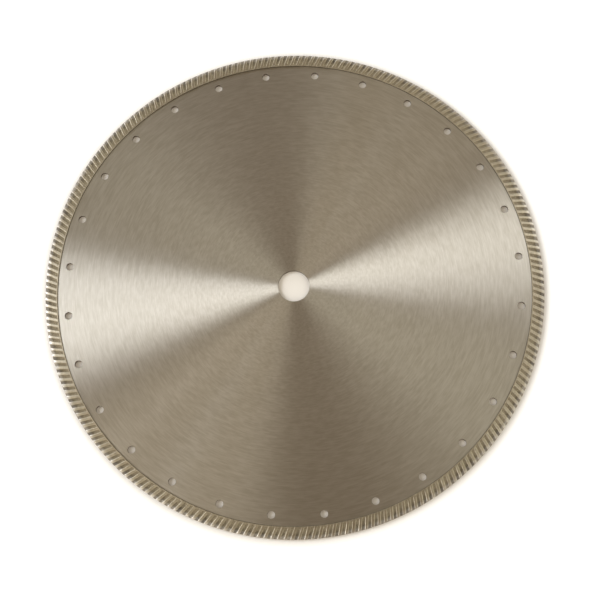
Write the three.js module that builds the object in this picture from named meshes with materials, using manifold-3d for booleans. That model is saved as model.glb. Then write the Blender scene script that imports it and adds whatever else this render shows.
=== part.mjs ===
// A continuous-rim turbo diamond blade: a ground steel core, a diamond-free bond ring keyed into the
// core's edge, and a sintered diamond rim whose two lips straddle that edge. Millimetres, +Z up.
// The origin is the centre of the arbor bore, half way through the blade's thickness.

import * as THREE from "three";
import { mergeVertices } from "three/addons/utils/BufferGeometryUtils.js";
import Module from "manifold-3d";

const wasm = await Module();
wasm.setup();

// ---- Driving dimensions ----

const bladeRadius = 200;
const boreRadius = 12.7; // a 25.4 mm arbor
const coreThickness = 2.4;
const tongueThickness = 2; // the core's edge, relieved to take the rim's lips
const rimThickness = 3.4;
const rimHeight = 10; // radial height of the sintered rim, measured from the outer edge
const lipOverlap = 2.6; // how far each lip of the rim reaches over the core's edge

const ventCount = 28; // round holes through the core, just inside the rim
const ventRadius = 3;
const ventCircleRadius = 182;

const grooveCount = 240; // on each face
const grooveWidth = 2.4;
const grooveStartDepth = 0.25; // at the smooth band
const grooveDepth = 0.8; // at the outer edge
const grooveSlant = THREE.MathUtils.degToRad(20); // away from radial, the outer end turned clockwise
const smoothBand = 0.8; // ungrooved inner edge of the rim
const bevelWidth = 2.6; // radial width of the bevel at the rim's outer edge
const bevelDepth = 0.5; // less than a groove's, so the grooves run out through the edge

const keyCount = 28; // tongues of the bond ring in notches of the core's edge
const keyDepth = 1.4;
const keyShare = 0.3; // of the key pitch
const bondHeight = 0.8; // radial height of the bond ring beyond the core's edge

const boreChamfer = 0.15;
const faceClearance = 0.05; // between the tongue's faces and the rim's lips
const edgeClearance = 0.1; // radial, between core, bond ring and rim

// ---- Worked out from them ----

const rimInside = bladeRadius - rimHeight;
const shoulderRadius = rimInside - edgeClearance; // where the core's full thickness ends
const coreRadius = rimInside + lipOverlap;
const bondRadius = coreRadius + bondHeight;
const channelRadius = bondRadius + edgeClearance;
const halfCore = coreThickness / 2;
const halfChannel = tongueThickness / 2 + faceClearance;
const halfRim = rimThickness / 2;
const fullTurn = 2 * Math.PI;

// Segments round each circle.
const boreSegments = 72;
const ventSegments = 16;
const edgeSegments = 120; // shoulder, bond ring and rim
const edgeSteps = 4; // along each tooth of the core's edge
const keySteps = 2; // along each key

// ---- Helpers ----

// A closed geometry as a manifold-3d solid.
function solidFrom(geometry) {
  const bare = geometry.clone();
  bare.deleteAttribute("normal");
  bare.deleteAttribute("uv");
  const merged = mergeVertices(bare, 1e-4);
  const vertProperties = merged.attributes.position.array;
  const triVerts = new Uint32Array(merged.index.array);
  return new wasm.Manifold(new wasm.Mesh({ numProp: 3, vertProperties, triVerts }));
}

// A manifold-3d solid as a geometry with flat faces.
function geometryFrom(solid) {
  const { vertProperties, triVerts } = solid.getMesh();
  const indexed = new THREE.BufferGeometry();
  indexed.setAttribute("position", new THREE.BufferAttribute(vertProperties, 3));
  indexed.setIndex(new THREE.BufferAttribute(triVerts, 1));
  const geometry = indexed.toNonIndexed();
  geometry.computeVertexNormals();
  return geometry;
}

// The point at a radius and an angle, counted anticlockwise from +X.
function polar(radius, angle) {
  return new THREE.Vector2(radius * Math.cos(angle), radius * Math.sin(angle));
}

// Points along an arc about the origin, both ends included.
function arcPoints(radius, from, to, steps) {
  return Array.from({ length: steps + 1 }, (_, i) => polar(radius, from + ((to - from) * i) / steps));
}

// Points round a whole circle, without a repeated first point.
function circlePoints(radius, segments, centre = new THREE.Vector2()) {
  return Array.from({ length: segments }, (_, i) => polar(radius, (fullTurn * i) / segments).add(centre));
}

// A plate of a thickness, lying half above and half below z = 0.
function plate(outline, holes, thickness) {
  const shape = new THREE.Shape(outline);
  shape.holes = holes.map((points) => new THREE.Path(points));
  const geometry = new THREE.ExtrudeGeometry(shape, { depth: thickness, bevelEnabled: false });
  return geometry.translate(0, 0, -thickness / 2);
}

// A closed section of [radius, height] points, anticlockwise, turned about the Z axis.
function turned(section, segments) {
  const points = section.map(([radius, height]) => new THREE.Vector2(radius, height));
  return new THREE.LatheGeometry([...points, points[0]], segments).rotateX(Math.PI / 2);
}

function mesh(name, geometry, colour, roughness, metalness) {
  const material = new THREE.MeshStandardMaterial({ color: colour, roughness, metalness, flatShading: true });
  const made = new THREE.Mesh(geometry, material);
  made.name = name;
  return made;
}

// ---- Sub-parts ----

// The outline of the joint between core and bond ring: teeth at one radius and key notches at another.
function keyedOutline(toothRadius, notchRadius, sideGap) {
  const pitch = fullTurn / keyCount;
  const halfKey = (pitch * keyShare) / 2 - sideGap / toothRadius;
  const points = [];
  for (let key = 0; key < keyCount; key++) {
    const middle = (key + 0.5) * pitch; // half way between two vents
    points.push(...arcPoints(notchRadius, middle - halfKey, middle + halfKey, keySteps));
    points.push(...arcPoints(toothRadius, middle + halfKey, middle + pitch - halfKey, edgeSteps));
  }
  return points;
}

// A bicone that eases both mouths of the bore.
function boreCutter() {
  const over = 1; // how far it reaches past each face
  return turned(
    [
      [0, -halfCore - over],
      [boreRadius + boreChamfer + over, -halfCore - over],
      [boreRadius, -halfCore + boreChamfer],
      [boreRadius, halfCore - boreChamfer],
      [boreRadius + boreChamfer + over, halfCore + over],
      [0, halfCore + over],
    ],
    boreSegments,
  );
}

function steelCore() {
  const vents = Array.from({ length: ventCount }, (_, i) =>
    circlePoints(ventRadius, ventSegments, polar(ventCircleRadius, (fullTurn * i) / ventCount)),
  );
  const disc = plate(circlePoints(shoulderRadius, edgeSegments), vents, coreThickness);
  const tongueRoot = (ventCircleRadius + ventRadius + shoulderRadius) / 2; // clear of vents and shoulder
  const tongue = plate(
    keyedOutline(coreRadius, coreRadius - keyDepth, 0),
    [circlePoints(tongueRoot, edgeSegments)],
    tongueThickness,
  );
  return geometryFrom(solidFrom(disc).add(solidFrom(tongue)).subtract(solidFrom(boreCutter())));
}

function bondRing() {
  const inner = keyedOutline(coreRadius + edgeClearance, coreRadius - keyDepth + edgeClearance, edgeClearance);
  return plate(circlePoints(bondRadius, edgeSegments), [inner], tongueThickness);
}

// One groove to be cut in the upper face: it starts with a step at the smooth band and deepens outwards.
function grooveCutter(slant) {
  const length = (rimHeight - smoothBand) / Math.cos(slant);
  const slope = (grooveDepth - grooveStartDepth) / length;
  const over = 1; // how far it reaches past the outer edge and above the face
  const side = new THREE.Shape([
    new THREE.Vector2(0, over),
    new THREE.Vector2(0, -grooveStartDepth),
    new THREE.Vector2(length + over, -grooveStartDepth - slope * (length + over)),
    new THREE.Vector2(length + over, over),
  ]);
  const wedge = new THREE.ExtrudeGeometry(side, { depth: grooveWidth, bevelEnabled: false });
  wedge.translate(0, 0, -grooveWidth / 2).rotateX(Math.PI / 2); // the side view's height becomes Z
  return wedge.rotateZ(-slant).translate(rimInside + smoothBand, 0, halfRim);
}

function diamondRim() {
  const blank = turned(
    [
      [rimInside, -halfRim],
      [bladeRadius - bevelWidth, -halfRim],
      [bladeRadius, -halfRim + bevelDepth],
      [bladeRadius, halfRim - bevelDepth],
      [bladeRadius - bevelWidth, halfRim],
      [rimInside, halfRim],
    ],
    edgeSegments,
  );
  const channelMouth = rimInside - 1; // the cutter starts inside the ring's bore
  const channel = turned(
    [
      [channelMouth, -halfChannel],
      [channelRadius, -halfChannel],
      [channelRadius, halfChannel],
      [channelMouth, halfChannel],
    ],
    edgeSegments,
  );
  const pitch = fullTurn / grooveCount;
  const grooves = [];
  for (let groove = 0; groove < grooveCount; groove++) {
    const upper = grooveCutter(grooveSlant).rotateZ(groove * pitch);
    // Turned over, a groove of the opposite slant runs beside the upper ones, half a pitch round.
    const lower = grooveCutter(-grooveSlant).rotateX(Math.PI).rotateZ((groove + 0.5) * pitch);
    grooves.push(solidFrom(upper), solidFrom(lower));
  }
  const ring = solidFrom(blank).subtract(solidFrom(channel));
  return geometryFrom(ring.subtract(wasm.Manifold.union(grooves)));
}

// ---- The blade ----

const blade = new THREE.Group();
blade.add(
  mesh("steel_core", steelCore(), 0x9b8e7c, 0.35, 1),
  mesh("bond_ring", bondRing(), 0x8a7a5c, 0.7, 0.8),
  mesh("diamond_rim", diamondRim(), 0x86765a, 0.8, 0.6),
);

export default blade;
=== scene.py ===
"""A continuous-rim turbo diamond blade lying on a pale floor. Metres, +Z up, the arbor bore's axis on Z."""

import math

import bmesh
import bpy
import numpy as np
from mathutils import Matrix, Vector


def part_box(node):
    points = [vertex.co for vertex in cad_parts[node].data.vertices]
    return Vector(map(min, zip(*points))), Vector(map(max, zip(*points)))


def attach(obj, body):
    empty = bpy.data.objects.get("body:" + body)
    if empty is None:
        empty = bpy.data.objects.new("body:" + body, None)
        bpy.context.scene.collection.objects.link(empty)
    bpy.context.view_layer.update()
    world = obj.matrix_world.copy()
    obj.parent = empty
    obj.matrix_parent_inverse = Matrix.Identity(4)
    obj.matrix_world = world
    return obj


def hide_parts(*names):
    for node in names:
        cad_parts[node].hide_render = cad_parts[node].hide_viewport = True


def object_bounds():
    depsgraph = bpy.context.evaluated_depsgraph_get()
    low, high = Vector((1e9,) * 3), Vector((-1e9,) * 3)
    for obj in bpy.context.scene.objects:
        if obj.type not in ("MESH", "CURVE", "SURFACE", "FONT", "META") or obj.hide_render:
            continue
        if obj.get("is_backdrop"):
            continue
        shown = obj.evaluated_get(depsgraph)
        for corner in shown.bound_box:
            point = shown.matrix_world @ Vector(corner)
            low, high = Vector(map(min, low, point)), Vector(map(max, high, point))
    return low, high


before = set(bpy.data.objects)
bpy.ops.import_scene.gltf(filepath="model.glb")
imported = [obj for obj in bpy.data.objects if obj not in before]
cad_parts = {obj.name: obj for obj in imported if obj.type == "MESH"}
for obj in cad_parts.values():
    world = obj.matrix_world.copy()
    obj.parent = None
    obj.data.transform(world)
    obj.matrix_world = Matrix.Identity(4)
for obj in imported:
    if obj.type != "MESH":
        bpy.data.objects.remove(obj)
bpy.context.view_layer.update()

MM = 0.001
FULL_TURN = 2 * math.pi

# ---- Sizes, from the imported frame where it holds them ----

BLADE_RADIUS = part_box("diamond_rim")[1].x
HALF_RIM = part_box("diamond_rim")[1].z
CORE_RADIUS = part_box("steel_core")[1].x
HALF_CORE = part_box("steel_core")[1].z
HALF_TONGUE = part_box("bond_ring")[1].z
BOND_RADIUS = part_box("bond_ring")[1].x

BORE_RADIUS = 12.7 * MM
BORE_CHAMFER = 0.15 * MM
RIM_HEIGHT = 10 * MM  # radial
RIM_INSIDE = BLADE_RADIUS - RIM_HEIGHT
CLEARANCE = 0.1 * MM  # radial, between core, bond ring and rim
FACE_CLEARANCE = 0.05 * MM  # between the core's tongue and the rim's lips

CHANNEL_RADIUS = BOND_RADIUS + CLEARANCE  # of the channel inside the rim, which takes tongue and bond ring
HALF_CHANNEL = HALF_TONGUE + FACE_CLEARANCE

VENT_COUNT = 28
VENT_RADIUS = 3 * MM
VENT_CIRCLE_RADIUS = 182 * MM
VENT_EASE = 0.12 * MM  # the broken edge of each vent

KEY_COUNT = 28
KEY_DEPTH = 1.4 * MM
KEY_SHARE = 0.3  # of the key pitch

GROOVE_COUNT = 240  # on each face
GROOVE_START_DEPTH = 0.25 * MM  # at the smooth band
GROOVE_DEPTH = 0.8 * MM  # at the outer edge
GROOVE_SLANT = math.radians(20)
SMOOTH_BAND = 0.8 * MM  # ungrooved inner edge of the rim
GROOVE_START = RIM_INSIDE + SMOOTH_BAND  # the radius where the grooves begin
GROOVE_END = 0.6 * MM  # length of the slope at a groove's inner end
DEPTH_ERROR = 0.1  # of a groove's depth, as a standard deviation
PLACE_ERROR = 0.012  # of the groove pitch, as a standard deviation
WEAR_WIDTH, WEAR_DEPTH = 3.2 * MM, 0.8 * MM  # the elliptical rounding of the rim's outer corners
LIP_EASE = 0.1 * MM  # the broken inner edge of each lip

random = np.random.default_rng(7)  # seeded, so that every run makes the same blade


# ---- Mesh helpers ----


def add_object(name, mesh, material):
    """A mesh as an object in the scene, with its material."""
    made = bpy.data.objects.new(name, mesh)
    bpy.context.scene.collection.objects.link(made)
    mesh.materials.append(material)
    return made


def ring_of(radius, segments, z, centre=(0.0, 0.0)):
    """Points round a circle, as an array of shape (segments, 3)."""
    angle = np.arange(segments) * FULL_TURN / segments
    x = centre[0] + radius * np.cos(angle)
    y = centre[1] + radius * np.sin(angle)
    return np.column_stack([x, y, np.full(segments, z)])


def add_loop(bm, points):
    """A closed loop of vertices with its edges."""
    verts = [bm.verts.new(p) for p in points]
    edges = [bm.edges.new((a, b)) for a, b in zip(verts, verts[1:] + verts[:1])]
    return verts, edges


def add_wall(bm, lower, upper, smooth):
    """Quads between two loops of the same count. Faces point outwards where the loops run anticlockwise."""
    for i, low in enumerate(lower):
        j = (i + 1) % len(lower)
        face = bm.faces.new((low, lower[j], upper[j], upper[i]))
        face.smooth = smooth


def fill_flat(bm, edges, z_sign):
    """A flat face over nested loops, pointing up or down."""
    made = bmesh.ops.triangle_fill(bm, use_beauty=True, edges=edges, normal=(0, 0, z_sign))
    for face in made["geom"]:
        if isinstance(face, bmesh.types.BMFace):
            face.normal_update()
            if face.normal.z * z_sign < 0:
                face.normal_flip()


def keyed_outline(tooth_radius, notch_radius):
    """The core's edge: teeth at one radius and key notches at another."""
    pitch = FULL_TURN / KEY_COUNT
    half_key = pitch * KEY_SHARE / 2
    points = []
    for key in range(KEY_COUNT):
        middle = (key + 0.5) * pitch
        for angle in np.linspace(middle - half_key, middle + half_key, 5):
            points.append((notch_radius * math.cos(angle), notch_radius * math.sin(angle)))
        for angle in np.linspace(middle + half_key, middle + pitch - half_key, 9):
            points.append((tooth_radius * math.cos(angle), tooth_radius * math.sin(angle)))
    return points


# ---- The steel core ----

BORE_SEGMENTS = 144
VENT_SEGMENTS = 40
SHOULDER_SEGMENTS = 480


def bore_and_vent_loops(bm, side):
    """The loops of bore and vents on one side: for each, the one on the face and the one on the wall.

    The eased edge of the opening lies between the two.
    """
    loops = []
    openings = [(BORE_RADIUS, BORE_CHAMFER, BORE_SEGMENTS, (0.0, 0.0))]
    for vent in range(VENT_COUNT):
        angle = vent * FULL_TURN / VENT_COUNT
        centre = (VENT_CIRCLE_RADIUS * math.cos(angle), VENT_CIRCLE_RADIUS * math.sin(angle))
        openings.append((VENT_RADIUS, VENT_EASE, VENT_SEGMENTS, centre))
    for radius, ease, segments, centre in openings:
        on_face = add_loop(bm, ring_of(radius + ease, segments, side * HALF_CORE, centre))
        on_wall = add_loop(bm, ring_of(radius, segments, side * (HALF_CORE - ease), centre))
        loops.append((on_face, on_wall))
    return loops


def add_core_side(bm, side):
    """One face of the core, its shoulder and one face of its tongue.

    Returns the vertices of each opening's wall loop, and those of the tongue's edge.
    """
    openings = bore_and_vent_loops(bm, side)
    shoulder_radius = RIM_INSIDE - CLEARANCE
    shoulder = add_loop(bm, ring_of(shoulder_radius, SHOULDER_SEGMENTS, side * HALF_CORE))
    fill_flat(bm, [edge for on_face, _ in openings for edge in on_face[1]] + shoulder[1], side)
    foot = add_loop(bm, ring_of(shoulder_radius, SHOULDER_SEGMENTS, side * HALF_TONGUE))
    outline = keyed_outline(CORE_RADIUS, CORE_RADIUS - KEY_DEPTH)
    tongue_edge = add_loop(bm, [(x, y, side * HALF_TONGUE) for x, y in outline])
    fill_flat(bm, foot[1] + tongue_edge[1], side)
    for first, second in [(foot, shoulder)] + openings:
        pair = (first[0], second[0]) if side > 0 else (second[0], first[0])
        add_wall(bm, *pair, smooth=True)
    return [on_wall[0] for _, on_wall in openings], tongue_edge[0]


def core_mesh():
    """The ground disc with its bore, vents and relieved, keyed edge. The openings' walls are marked "cut"."""
    bm = bmesh.new()
    cut = bm.verts.layers.float.new("cut")
    lower_walls, lower_edge = add_core_side(bm, -1)
    upper_walls, upper_edge = add_core_side(bm, 1)
    for low, high in zip(lower_walls, upper_walls):
        add_wall(bm, high, low, smooth=True)
    add_wall(bm, lower_edge, upper_edge, smooth=False)
    for loop in lower_walls + upper_walls:
        for vert in loop:
            vert[cut] = 1.0
    mesh = bpy.data.meshes.new("core")
    bm.to_mesh(mesh)
    bm.free()
    mesh.set_sharp_from_angle(angle=math.radians(30))
    return mesh


# ---- The sintered rim ----

# Places across a groove pitch, in pitches from the groove's middle to the land's middle.
FLOOR_EDGE, WALL_MIDDLE, LAND_EDGE = 0.195, 0.2375, 0.28
HALF_PITCH = [0.13, FLOOR_EDGE, WALL_MIDDLE, LAND_EDGE, 0.39]
COLUMNS = np.array([0.0] + HALF_PITCH + [0.5] + [1 - place for place in reversed(HALF_PITCH)])


def groove_lean(radius):
    """How far clockwise a slanted groove has turned when it reaches a radius, in radians."""
    return math.tan(GROOVE_SLANT) * np.log(radius / GROOVE_START)


def corner_rounding(radius):
    """How far the worn outer corner lies below the lands' level at a radius."""
    worn = np.clip((radius - BLADE_RADIUS) / WEAR_WIDTH + 1, 0, 1)
    return WEAR_DEPTH * (1 - np.sqrt(1 - worn * worn))


class GroovedFace:
    """One face of the rim. Each groove has its own small errors of depth and place, left by the press."""

    def __init__(self, side):
        self.side = side
        self.phase = 0.0 if side > 0 else 0.5  # the lower grooves run half a pitch from the upper ones
        self.depth = 1 + DEPTH_ERROR * random.standard_normal(GROOVE_COUNT)
        self.shift = PLACE_ERROR * random.standard_normal(GROOVE_COUNT)

    def sink(self, radius, place):
        """How far the face lies below the lands, at places counted in pitches round the ring."""
        place = place - self.phase
        groove = np.floor(place + 0.5).astype(int) % GROOVE_COUNT
        away = np.abs((place - self.shift[groove] + 0.5) % 1.0 - 0.5)
        wall = np.clip((LAND_EDGE - away) / (LAND_EDGE - FLOOR_EDGE), 0, 1)
        share = wall * wall * (3 - 2 * wall)
        begun = np.clip((radius - GROOVE_START) / GROOVE_END, 0, 1)
        outward = np.clip((radius - GROOVE_START) / (BLADE_RADIUS - GROOVE_START), 0, 1)
        depth = GROOVE_START_DEPTH * begun + (GROOVE_DEPTH - GROOVE_START_DEPTH) * outward * outward
        return share * depth * self.depth[groove]

    def spot(self, radius, place, below):
        """Points at a depth below the lands' level, with the grooves' slant."""
        angle = place * FULL_TURN / GROOVE_COUNT - groove_lean(radius)
        z = self.side * (HALF_RIM - below)
        return np.column_stack([radius * np.cos(angle), radius * np.sin(angle), z])


def face_rows():
    """Radius and depth below the lands of each row of one face, from the lip's inner edge outwards."""
    rows = [(RIM_INSIDE, LIP_EASE), (RIM_INSIDE + LIP_EASE, 0.0), (GROOVE_START, 0.0)]
    rows += [(radius, 0.0) for radius in np.linspace(GROOVE_START + GROOVE_END, BLADE_RADIUS - WEAR_WIDTH, 6)]
    for angle in np.radians([18, 34, 48, 61, 74, 90]):  # round the worn corner
        radius = BLADE_RADIUS - WEAR_WIDTH * (1 - math.sin(angle))
        rows.append((radius, corner_rounding(radius)))
    return rows


def face_points(face):
    """A face's points, row by row, and how deep in a groove each lies, as a share of GROOVE_DEPTH."""
    place = (np.arange(GROOVE_COUNT)[:, None] + COLUMNS[None, :]).ravel()
    points, shares = [], []
    for radius, rounding in face_rows():
        below = np.hypot(face.sink(radius, place), rounding)
        points.append(face.spot(radius, place, below))
        shares.append(np.clip((below - rounding) / GROOVE_DEPTH, 0, 1))
    return points, shares


def closed_skin(row_count, count):
    """Quads between rows of points, where the last row joins the first and each row is a loop."""
    index = np.arange(row_count * count).reshape(row_count, count)
    beside = np.roll(index, -1, axis=1)
    below = np.roll(index, -1, axis=0)
    below_beside = np.roll(beside, -1, axis=0)
    return np.stack([index, below, below_beside, beside], axis=-1).reshape(-1, 4)


def rim_mesh(upper_face, lower_face):
    """The rim as one closed skin: upper face, channel inside, lower face and outer wall."""
    upper, upper_share = face_points(upper_face)
    lower, lower_share = face_points(lower_face)
    count = len(upper[0])
    around = upper[0][:, :2] / RIM_INSIDE
    rows = list(reversed(upper))
    shares = list(reversed(upper_share))
    for radius, z in (
        (RIM_INSIDE, HALF_CHANNEL),
        (CHANNEL_RADIUS, HALF_CHANNEL),
        (CHANNEL_RADIUS, -HALF_CHANNEL),
        (RIM_INSIDE, -HALF_CHANNEL),
    ):
        rows.append(np.column_stack([around * radius, np.full(count, z)]))
        shares.append(np.ones(count))
    rows += lower
    shares += lower_share
    mesh = bpy.data.meshes.new("rim")
    mesh.from_pydata(np.concatenate(rows).tolist(), [], closed_skin(len(rows), count).tolist())
    groove = mesh.attributes.new("groove", "FLOAT", "POINT")
    groove.data.foreach_set("value", np.concatenate(shares).astype(np.float32))
    mesh.shade_smooth()
    mesh.set_sharp_from_angle(angle=math.radians(60))
    return mesh


# ---- Diamond grit ----

GRIT_ON_EACH_FACE = 2200
GRIT_ON_WALL = 900
GRIT_PROUD = 0.07 * MM  # the most that a crystal stands out of the surface that holds it


def crystal_widths(count):
    return random.uniform(0.3 * MM, 0.55 * MM, count)


def crystal():
    """A cuboctahedron one unit from corner to opposite corner: its corners and fourteen outward faces."""
    signs = (-1, 1)
    corners = [(a, b, 0) for a in signs for b in signs]
    corners += [(a, 0, b) for a in signs for b in signs]
    corners += [(0, a, b) for a in signs for b in signs]
    corners = np.array(corners, float)
    directions = [(s * (i == 0), s * (i == 1), s * (i == 2)) for i in range(3) for s in signs]
    directions += [(a, b, c) for a in signs for b in signs for c in signs]
    faces = []
    for direction in np.array(directions, float):
        height = corners @ direction
        members = np.flatnonzero(height > height.max() - 0.1)
        middle = corners[members].mean(axis=0)
        first = corners[members[0]] - middle
        second = np.cross(direction, first)
        spokes = corners[members] - middle
        turn = np.arctan2(spokes @ second, spokes @ first)
        faces.append(members[np.argsort(turn)].tolist())
    return corners / math.sqrt(8), faces


def turned_crystals(corners, centres, widths):
    """The corners of many crystals, each turned its own way."""
    axes = random.standard_normal((len(centres), 3, 3))
    turns, _ = np.linalg.qr(axes)
    turns *= np.linalg.det(turns)[:, None, None]
    return centres[:, None, :] + (corners @ turns) * widths[:, None, None]


def grit_on_face(face):
    """Crystals on a grooved face, as centres and widths, each held with a little of it proud.

    Where a lip lies over the channel, they are small enough to stay inside the lip.
    """
    count = GRIT_ON_EACH_FACE
    widths = crystal_widths(count)
    radius = random.uniform(GROOVE_START, BLADE_RADIUS - WEAR_WIDTH / 2, count)
    place = random.uniform(0, GROOVE_COUNT, count)
    below = np.hypot(face.sink(radius, place), corner_rounding(radius))
    lip = HALF_RIM - below - HALF_CHANNEL
    over_channel = radius < CHANNEL_RADIUS + widths / 2
    widths = np.where(over_channel, np.minimum(widths, lip + GRIT_PROUD), widths)
    return face.spot(radius, place, below + widths / 2 - GRIT_PROUD), widths


def grit_on_wall(upper_face, lower_face):
    """Crystals round the outer wall, as centres and widths, none in the open mouth of a groove."""
    widths = crystal_widths(GRIT_ON_WALL)
    angle = random.uniform(0, FULL_TURN, GRIT_ON_WALL)
    share = random.uniform(-1, 1, GRIT_ON_WALL)
    radius = BLADE_RADIUS - widths / 2 + GRIT_PROUD
    place = (angle + groove_lean(BLADE_RADIUS)) * GROOVE_COUNT / FULL_TURN
    sinks = [face.sink(BLADE_RADIUS, place) for face in (upper_face, lower_face)]
    z = share * (HALF_RIM - np.hypot(np.where(share > 0, *sinks), WEAR_DEPTH))
    return np.column_stack([radius * np.cos(angle), radius * np.sin(angle), z]), widths


def grit_mesh(upper_face, lower_face):
    """Diamonds held by the bond on both faces and round the outer wall."""
    corners, faces = crystal()
    groups = []
    for face in (upper_face, lower_face):
        groups.append(turned_crystals(corners, *grit_on_face(face)))
    groups.append(turned_crystals(corners, *grit_on_wall(upper_face, lower_face)))
    crystals = np.concatenate(groups)
    vertices = crystals.reshape(-1, 3)
    polygons = []
    for number in range(len(crystals)):
        base = number * len(corners)
        polygons += [[base + corner for corner in face] for face in faces]
    mesh = bpy.data.meshes.new("grit")
    mesh.from_pydata(vertices.tolist(), [], polygons)
    return mesh


# ---- Materials ----


class Nodes:
    """A material's node tree, with short ways to add what these materials share."""

    def __init__(self, name):
        self.material = bpy.data.materials.new(name)
        self.material.use_nodes = True
        self.tree = self.material.node_tree
        self.shader = self.tree.nodes["Principled BSDF"]

    def node(self, kind, **values):
        made = self.tree.nodes.new(kind)
        for key, value in values.items():
            setattr(made, key, value)
        return made

    def feed(self, socket, value):
        """Links a socket, or sets it to a plain value."""
        if isinstance(value, bpy.types.NodeSocket):
            self.tree.links.new(value, socket)
        else:
            socket.default_value = value

    def finish(self, name, value):
        """Sets or links one of the shader's inputs."""
        self.feed(self.shader.inputs[name], value)

    def math(self, operation, a, b=0.0):
        made = self.node("ShaderNodeMath", operation=operation)
        self.feed(made.inputs[0], a)
        self.feed(made.inputs[1], b)
        return made.outputs[0]

    def position(self):
        """The point in the object's own space, as a vector and as X, Y and Z."""
        where = self.node("ShaderNodeTexCoord").outputs["Object"]
        parts = self.node("ShaderNodeSeparateXYZ")
        self.feed(parts.inputs[0], where)
        return where, *parts.outputs

    def radius(self, x, y):
        squares = self.math("ADD", self.math("MULTIPLY", x, x), self.math("MULTIPLY", y, y))
        return self.math("SQRT", squares)

    def circles(self, per_metre, arcs):
        """A vector that varies quickly with radius and slowly round the bore's axis, joined up all the way
        round.
        """
        _, x, y, z = self.position()
        radius = self.radius(x, y)
        along = self.math("MULTIPLY", self.math("ADD", radius, z), per_metre)
        made = self.node("ShaderNodeCombineXYZ")
        self.feed(made.inputs[0], along)
        self.feed(made.inputs[1], self.math("MULTIPLY", self.math("DIVIDE", x, radius), arcs))
        self.feed(made.inputs[2], self.math("MULTIPLY", self.math("DIVIDE", y, radius), arcs))
        return made.outputs[0]

    def noise(self, vector, scale=1.0, detail=2.0, roughness=0.5):
        made = self.node("ShaderNodeTexNoise")
        self.feed(made.inputs["Vector"], vector)
        self.feed(made.inputs["Scale"], scale)
        self.feed(made.inputs["Detail"], detail)
        self.feed(made.inputs["Roughness"], roughness)
        return made.outputs["Fac"]

    def remap(self, value, from_range, to_range):
        made = self.node("ShaderNodeMapRange")
        self.feed(made.inputs["Value"], value)
        for name, number in zip(("From Min", "From Max", "To Min", "To Max"), from_range + to_range):
            made.inputs[name].default_value = number
        return made.outputs["Result"]

    def mix(self, share, first, second):
        made = self.node("ShaderNodeMix", data_type="RGBA")
        self.feed(made.inputs["Factor"], share)
        self.feed(made.inputs["A"], first)
        self.feed(made.inputs["B"], second)
        return made.outputs["Result"]

    def dim(self, colour, amount):
        """A colour multiplied by a number."""
        made = self.node("ShaderNodeVectorMath", operation="SCALE")
        self.feed(made.inputs[0], colour)
        self.feed(made.inputs["Scale"], amount)
        return made.outputs[0]

    def bump(self, height, distance):
        made = self.node("ShaderNodeBump")
        self.feed(made.inputs["Height"], height)
        self.feed(made.inputs["Distance"], distance)
        return made.outputs["Normal"]

    def ground_in_circles(self, amount):
        """Reflects like metal ground in circles about Z: light spreads across the scratches."""
        tangent = self.node("ShaderNodeTangent", direction_type="RADIAL", axis="Z")
        self.finish("Tangent", tangent.outputs[0])
        self.finish("Anisotropic", amount)
        self.finish("Anisotropic Rotation", 0.25)


def ground_steel():
    """Bright steel ground in fine circles: short streaks of differing lightness, gloss and depth.

    The walls of the bore and vents, marked "cut", keep the dark scale of the cut.
    """
    n = Nodes("ground_steel")
    cut = n.node("ShaderNodeAttribute", attribute_name="cut").outputs["Fac"]
    fine = n.noise(n.circles(1300, 11), detail=2.0, roughness=0.6)
    broad = n.noise(n.circles(420, 14), detail=2.0, roughness=0.6)
    cloud = n.noise(n.circles(60, 2), detail=2.0)
    _, x, y, _ = n.position()
    outward = n.remap(n.radius(x, y), (0.3 * BLADE_RADIUS, 0.9 * BLADE_RADIUS), (1.0, 0.925))
    streaks = n.math("MULTIPLY", n.math("ADD", fine, broad), 0.5)
    colour = n.mix(n.remap(streaks, (0.38, 0.62), (0, 1)), (0.50, 0.47, 0.42, 1), (0.60, 0.573, 0.53, 1))
    face = n.dim(colour, n.math("MULTIPLY", outward, n.remap(cloud, (0.3, 0.7), (0.985, 1.015))))
    n.finish("Base Color", n.mix(cut, face, (0.10, 0.075, 0.05, 1)))
    n.finish("Metallic", n.math("SUBTRACT", 1.0, cut))
    n.finish("Roughness", n.remap(streaks, (0.38, 0.62), (0.372, 0.382)))
    n.finish("Normal", n.bump(streaks, 0.5e-6))
    n.ground_in_circles(1.0)
    return n.material


def bond_colour(n, grain, depth, matt):
    """Lands dressed bright in circles, and grooves left as they came from the press, with painted shade that
    makes them darkest where they are deep.
    """
    speckle = n.remap(grain, (0.35, 0.65), (0, 1))
    streaks = n.remap(n.noise(n.circles(2000, 60), detail=2.0), (0.35, 0.65), (0, 1))
    land = n.mix(streaks, (0.49, 0.44, 0.35, 1), (0.58, 0.53, 0.43, 1))
    shallow = n.mix(speckle, (0.23, 0.19, 0.13, 1), (0.35, 0.305, 0.22, 1))
    # The deep colour is painted shade: grooves are darkened towards it as they deepen.
    deep = n.mix(speckle, (0.04, 0.03, 0.02, 1), (0.18, 0.155, 0.115, 1))
    pressed_and_shaded = n.mix(n.remap(depth, (0.35, 0.75), (0, 1)), shallow, deep)
    return n.mix(matt, land, pressed_and_shaded)


def worn_and_highlight_share(n, radius, z):
    """How far the surface is worn bright and given a painted highlight: most on the rounded corners, little
    on the wall between them.
    """
    height = n.math("ABSOLUTE", z)
    corner = n.remap(height, (HALF_RIM - WEAR_DEPTH, HALF_RIM - WEAR_DEPTH / 2), (0.2, 0.85))
    outward = n.remap(radius, (BLADE_RADIUS - WEAR_WIDTH, BLADE_RADIUS), (0, 1))
    return n.math("MULTIPLY", corner, outward)


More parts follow.
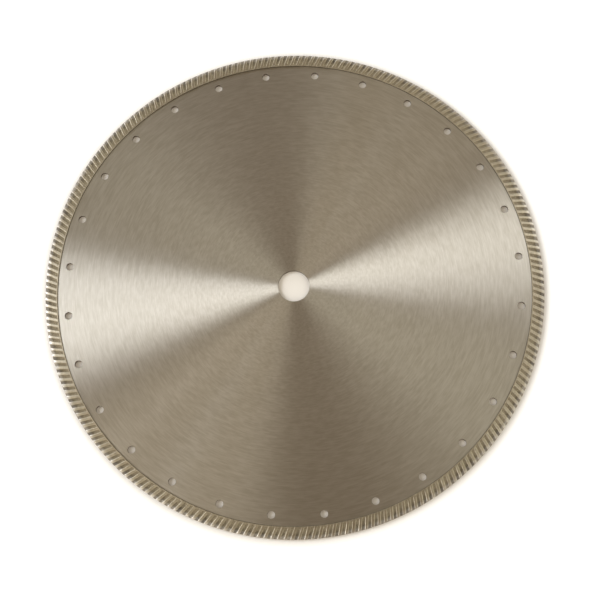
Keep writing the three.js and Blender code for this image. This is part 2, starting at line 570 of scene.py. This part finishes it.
def sintered_rim():
    """Sintered bond with diamonds: bright lands, and worn corners made lighter still by a painted highlight;
    the rest matt and darker, with painted shade deep in the grooves and on the lips' inner edges.
    """
    n = Nodes("sintered_rim")
    where, x, y, z = n.position()
    radius = n.radius(x, y)
    depth = n.node("ShaderNodeAttribute", attribute_name="groove").outputs["Fac"]
    band = (RIM_INSIDE + SMOOTH_BAND / 2, RIM_INSIDE + 1.5 * SMOOTH_BAND)
    undressed = n.remap(radius, band, (0.6, 0.0))
    matt = n.math("MAXIMUM", n.remap(depth, (0.0, 0.2), (0.0, 1.0)), undressed)
    grain = n.noise(where, scale=1300, detail=3.0, roughness=0.7)
    blotch = n.noise(where, scale=450, detail=2.0)
    # The rounded corners are mixed towards pale grey: partly worn metal, partly a painted highlight.
    colour = n.mix(worn_and_highlight_share(n, radius, z), bond_colour(n, grain, depth, matt), (0.80, 0.78, 0.77, 1))
    pits = n.remap(grain, (0.38, 0.5), (0.8, 1.0))
    shade = n.math("MULTIPLY", pits, n.remap(blotch, (0.3, 0.7), (0.9, 1.1)))
    # Painted shade: the lip's eased inner edge, where the rim steps down to the core, is darkened to a
    # quarter.
    lip_edge_shade = n.remap(radius, (RIM_INSIDE + LIP_EASE, RIM_INSIDE + 2 * LIP_EASE), (0.25, 1.0))
    n.finish("Base Color", n.dim(colour, n.math("MULTIPLY", shade, lip_edge_shade)))
    rough = n.math("ADD", n.math("MULTIPLY", matt, 0.3), n.remap(grain, (0.3, 0.7), (0.37, 0.43)))
    n.finish("Roughness", rough)
    n.finish("Metallic", n.remap(matt, (0, 1), (1.0, 0.4)))
    n.finish("Normal", n.bump(grain, 20e-6))
    n.ground_in_circles(0.9)
    return n.material


def grit():
    """Synthetic diamond: yellow-green, glossy and slightly cloudy."""
    n = Nodes("diamond_crystals")
    where, *_ = n.position()
    cloudy = n.noise(where, scale=4000, detail=2.0)
    n.finish("Base Color", n.mix(cloudy, (0.46, 0.42, 0.20, 1), (0.80, 0.76, 0.52, 1)))
    n.finish("Roughness", n.remap(cloudy, (0.3, 0.7), (0.12, 0.3)))
    n.finish("IOR", 2.42)
    n.finish("Normal", n.bump(cloudy, 3e-6))
    return n.material


def plain_bond():
    """Diamond-free sintered bond: matt, granular, brown-grey."""
    n = Nodes("plain_bond")
    where, *_ = n.position()
    grain = n.noise(where, scale=3000, detail=3.0)
    n.finish("Base Color", n.mix(grain, (0.30, 0.26, 0.18, 1), (0.46, 0.41, 0.31, 1)))
    n.finish("Roughness", n.remap(grain, (0.3, 0.7), (0.6, 0.75)))
    n.finish("Metallic", 0.8)
    n.finish("Normal", n.bump(grain, 20e-6))
    return n.material


def pale_floor():
    """White paper that glows like a light table: evenly beside the blade and hardly at all under it, a
    painted shadow.
    """
    n = Nodes("pale_floor")
    _, x, y, _ = n.position()
    n.finish("Base Color", (0.85, 0.85, 0.85, 1))
    n.finish("Roughness", 0.9)
    # Painted shadow: the glow fades from 9 mm outside the blade's edge to almost nothing 1 mm inside it,
    # under the blade and in the bore.
    beside = n.remap(n.radius(x, y), (BLADE_RADIUS - 1 * MM, BLADE_RADIUS + 9 * MM), (0, 1))
    n.finish("Emission Color", n.mix(beside, (0.045, 0.03, 0.02, 1), (0.47, 0.50, 0.55, 1)))
    n.finish("Emission Strength", 1.0)
    return n.material


# ---- The object ----


def add_piece(name, mesh, material, slot, *nodes):
    """Adds a piece that rides on the blade and stands for CAD nodes, with its material; the slot is not used.
    """
    piece = add_object(name, mesh, material)
    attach(piece, "root")
    if nodes:
        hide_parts(*nodes)


def build_blade():
    upper_face, lower_face = GroovedFace(1), GroovedFace(-1)
    add_piece("core_disc", core_mesh(), ground_steel(), "core_steel", "steel_core")
    add_piece("turbo_rim", rim_mesh(upper_face, lower_face), sintered_rim(), "rim_sinter", "diamond_rim")
    add_piece("diamond_grit", grit_mesh(upper_face, lower_face), grit(), "diamond_grit")
    material = plain_bond()
    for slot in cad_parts["bond_ring"].material_slots:
        slot.material = material


build_blade()
visual_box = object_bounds()

# ---- Stage, lights and camera ----

# Camera and lights are turned together, so that the vent on +X lies 7.6 degrees anticlockwise from the
# camera's right-hand direction.
STUDIO_TURN = Matrix.Rotation(math.radians(-7.6), 4, "Z")
PANEL_DISTANCE = 2.5  # from each softbox to the blade's middle

# Name, azimuth, lowest and highest elevation in degrees, width in metres, power in watts, colour.
# The ground face shows each as a bright fan on both sides of the bore, roughly along its azimuth.
SOFTBOXES = [
    ("key_left", 169.5, 25, 52.5, 0.96, 26.5, (0.95, 0.98, 1.0)),
    ("fill_front_left", 226, 20, 59, 2.2, 20, (1.0, 0.94, 0.80)),
    ("fill_right", 346.5, 5, 77.5, 1.35, 12.7, (1.0, 1.0, 0.85)),
    ("strip_back_right", 32, 14, 63, 0.73, 11.6, (1.0, 1.0, 0.92)),
    ("fill_back_right", 70, 30, 60, 1.3, 1.4, (0.95, 1.0, 0.9)),
    ("backdrop", 120, 2, 26, 4.0, 26, (0.86, 0.93, 1.0)),
    ("sliver_front", 228, 25, 45, 0.06, 0.9, (0.85, 0.92, 1.0)),
    ("sliver_left", 209.5, 20, 40, 0.06, 1.1, (1.0, 0.97, 0.94)),
]


def floor():
    mesh = bpy.data.meshes.new("floor")
    half, z = 6.0, visual_box[0][2]
    corners = [(-half, -half, z), (half, -half, z), (half, half, z), (-half, half, z)]
    mesh.from_pydata(corners, [], [(0, 1, 2, 3)])
    add_object("floor", mesh, pale_floor())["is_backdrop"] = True


def softbox(name, azimuth, low, high, width, power, colour):
    """A flat panel that faces the blade's middle, its width level."""
    turn, elevation = math.radians(azimuth), math.radians((low + high) / 2)
    level = math.cos(elevation)
    toward = Vector((level * math.cos(turn), level * math.sin(turn), math.sin(elevation)))
    light = bpy.data.lights.new(name, "AREA")
    light.shape = "RECTANGLE"
    light.size = width
    light.size_y = 2 * PANEL_DISTANCE * math.tan(math.radians((high - low) / 2))
    light.energy = power
    light.color = colour
    made = bpy.data.objects.new(name, light)
    aim = toward.to_track_quat("Z", "Y").to_matrix().to_4x4()
    made.matrix_world = STUDIO_TURN @ Matrix.Translation(toward * PANEL_DISTANCE) @ aim
    bpy.context.scene.collection.objects.link(made)


def lights():
    for row in SOFTBOXES:
        softbox(*row)
    world = bpy.data.worlds.new("room")
    world.use_nodes = True
    world.node_tree.nodes["Background"].inputs["Color"].default_value = (0.295, 0.225, 0.145, 1)
    bpy.context.scene.world = world


def camera():
    """Above the blade and a little in front, looking down with a short telephoto lens."""
    data = bpy.data.cameras.new("camera")
    data.lens = 74.1
    data.sensor_width = 36
    made = bpy.data.objects.new("camera", data)
    bpy.context.scene.collection.objects.link(made)
    across = Matrix.Rotation(math.radians(6), 4, "Z")  # of the axis about which the camera leans
    lean = across @ Matrix.Rotation(math.radians(13.8), 4, "X") @ across.inverted()
    aim = Matrix.Translation((5 * MM, -11.7 * MM, HALF_RIM))
    away = Matrix.Translation((0, 0, 987 * MM))
    made.matrix_world = STUDIO_TURN @ aim @ lean @ away
    bpy.context.scene.camera = made


floor()
lights()
camera()
bpy.context.scene.view_settings.view_transform = "Standard"
